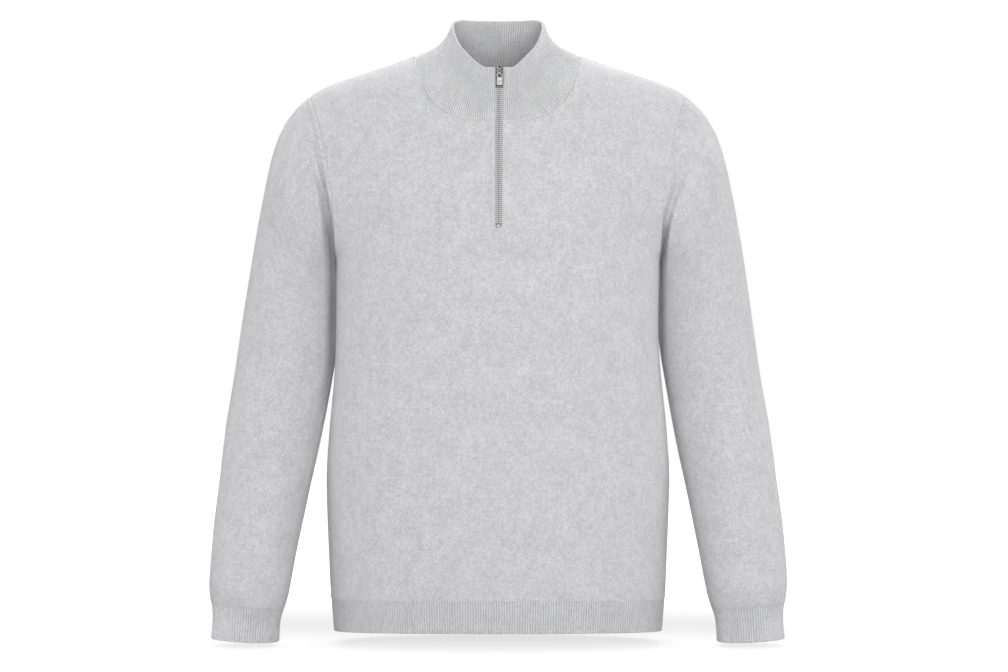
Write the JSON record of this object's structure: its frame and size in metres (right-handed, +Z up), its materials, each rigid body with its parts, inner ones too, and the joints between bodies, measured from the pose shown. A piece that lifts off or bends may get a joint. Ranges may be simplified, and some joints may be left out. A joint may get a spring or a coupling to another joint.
{
  "type": "quarter zip sweater",
  "caption": "Long-sleeved pullover in fine grey knit with a ribbed stand collar, a short front zip with a swinging pull tab, and ribbed cuffs and hem, filled out as worn.",
  "frame": {"origin": "centre of the neck hole, level with the points where the shoulder seams meet the collar", "axes": "+Z up along the wearer's neck, +X towards the wearer's left arm, -Y out of the front"},
  "size_m": [0.6742, 0.2363, 0.7334],
  "materials": {
    "heather_knit": "fine melange jersey knit, matt",
    "heather_rib": "fine ribbed knit, matt",
    "zip_tape_weave": "woven zip tape",
    "zip_teeth_metal": "dull nickel",
    "zip_slider_metal": "dark nickel",
    "zip_pull_metal": "bright nickel"
  },
  "bodies": {
    "garment": {"front_panel": "heather_knit", "back_panel": "heather_knit", "sleeve_left": "heather_knit", "sleeve_right": "heather_knit", "collar": "heather_rib", "hem_rib_front": "heather_rib", "hem_rib_back": "heather_rib", "cuff_left": "heather_rib", "cuff_right": "heather_rib", "zip_tape_left": "zip_tape_weave", "zip_tape_right": "zip_tape_weave", "zip_chain": "zip_teeth_metal", "zip_bottom_stop": "zip_teeth_metal", "zip_slider": "zip_slider_metal"},
    "pull_tab": {"zip_pull_tab": "zip_pull_metal"}
  },
  "joints": [
    {"name": "pull_tab_swing", "type": "hinge", "parent": "garment", "child": "pull_tab", "pos_m": [0, -0.07098, -0.02365], "axis": [-1, 0, 0], "range_deg": [0, 175]}
  ]
}
